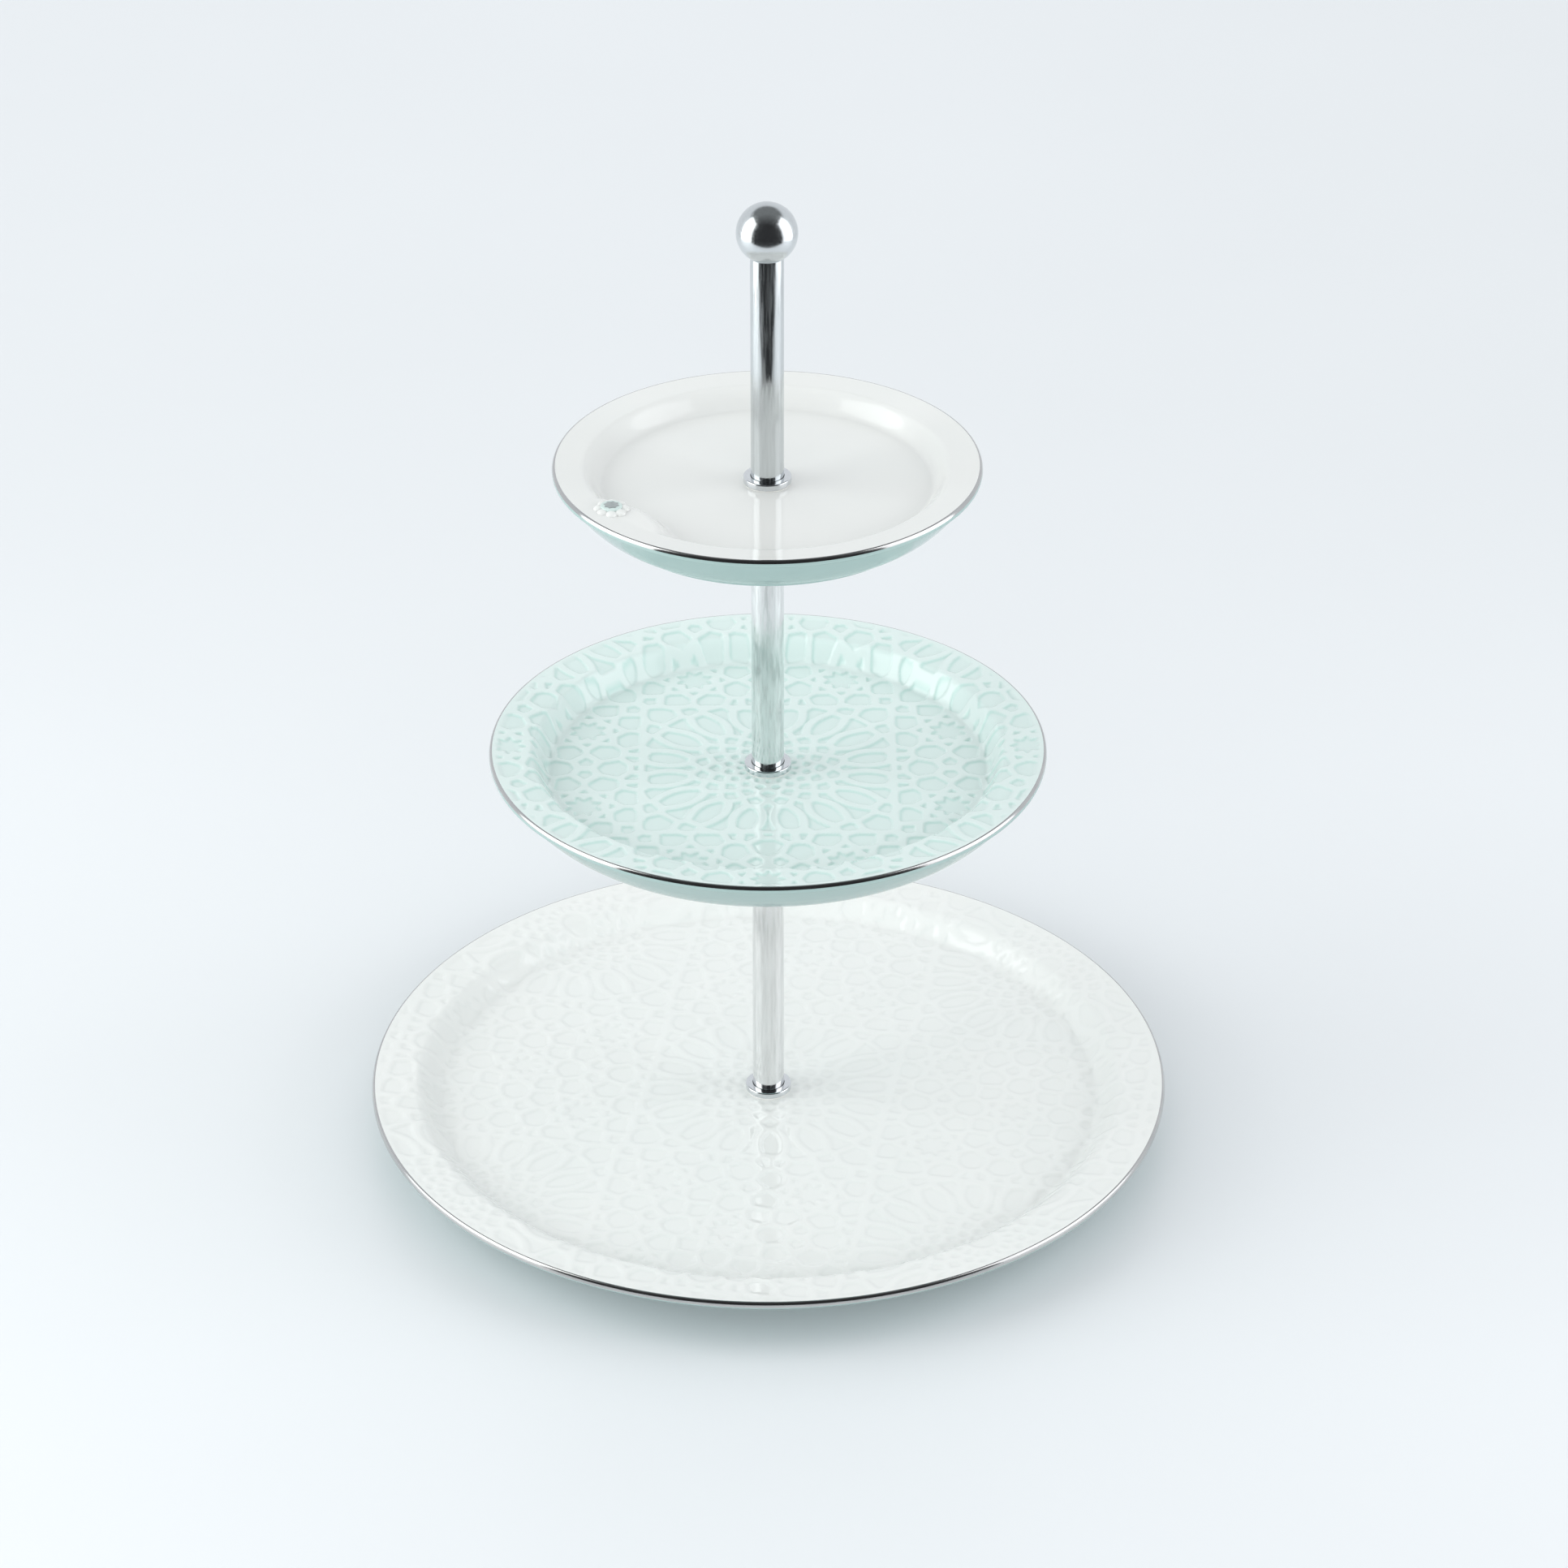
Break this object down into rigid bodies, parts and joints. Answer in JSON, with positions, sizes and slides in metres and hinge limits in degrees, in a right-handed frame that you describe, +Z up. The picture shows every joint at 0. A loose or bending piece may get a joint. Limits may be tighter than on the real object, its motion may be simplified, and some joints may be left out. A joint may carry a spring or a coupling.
{
  "type": "tiered cake stand",
  "caption": "Three-tier cake stand: round glazed plates of falling size screwed together on a chromed centre post with a ball finial.",
  "frame": {"origin": "centre of the bottom plate's foot ring, on the surface it stands on", "axes": "+Z up along the centre post; -Y towards the front, with the floret on the top plate at front left"},
  "size_m": [0.3056, 0.3056, 0.3839],
  "materials": {
    "white_glaze": "gloss white glaze, mint below, platinum line on the rim",
    "mint_glaze": "gloss celadon glaze pooled in the relief, platinum line on the rim",
    "chrome": "polished",
    "steel": "turned, zinc plated",
    "soft_ring": "matt translucent silicone"
  },
  "bodies": {
    "base": {"bottom_plate": "white_glaze", "base_screw": "steel", "base_washer": "steel", "base_pad": "soft_ring", "lower_gasket": "soft_ring", "lower_collar": "chrome", "lower_tube": "chrome", "lower_foot_bush": "steel", "lower_stud": "steel", "middle_support": "steel", "middle_pad": "soft_ring"},
    "middle_plate": {"middle_plate": "mint_glaze"},
    "middle_gasket": {"middle_gasket": "soft_ring"},
    "middle_stem": {"middle_collar": "chrome", "middle_tube": "chrome", "middle_foot_bush": "steel", "middle_stud": "steel", "top_support": "steel", "top_pad": "soft_ring"},
    "top_plate": {"top_plate": "white_glaze", "floret_petals": "white_glaze", "floret_boss": "mint_glaze"},
    "upper_gasket": {"upper_gasket": "soft_ring"},
    "handle": {"upper_collar": "chrome", "upper_tube": "chrome", "upper_foot_bush": "steel", "finial_stud": "steel", "ball_finial": "chrome"}
  },
  "joints": [
    {"name": "middle_plate_turn", "type": "hinge", "parent": "base", "child": "middle_plate", "pos_m": [0, 0, 0.1566], "axis": [0, 0, 1], "continuous": true},
    {"name": "middle_stem_turn", "type": "hinge", "parent": "base", "child": "middle_gasket", "pos_m": [0, 0, 0.1566], "axis": [0, 0, 1], "range_deg": [0, 3780]},
    {"name": "middle_stem_rise", "type": "slide", "parent": "middle_gasket", "child": "middle_stem", "axis": [0, 0, 1], "range_m": [0, 0.0105]},
    {"name": "top_plate_turn", "type": "hinge", "parent": "middle_stem", "child": "top_plate", "pos_m": [0, 0, 0.2753], "axis": [0, 0, 1], "continuous": true},
    {"name": "handle_turn", "type": "hinge", "parent": "middle_stem", "child": "upper_gasket", "pos_m": [0, 0, 0.2753], "axis": [0, 0, 1], "range_deg": [0, 3780]},
    {"name": "handle_rise", "type": "slide", "parent": "upper_gasket", "child": "handle", "axis": [0, 0, 1], "range_m": [0, 0.0105]}
  ],
  "couplings": [
    {"joint": "middle_stem_turn", "follows": "middle_stem_rise", "rad_per_m": 6283.2},
    {"joint": "handle_turn", "follows": "handle_rise", "rad_per_m": 6283.2}
  ]
}
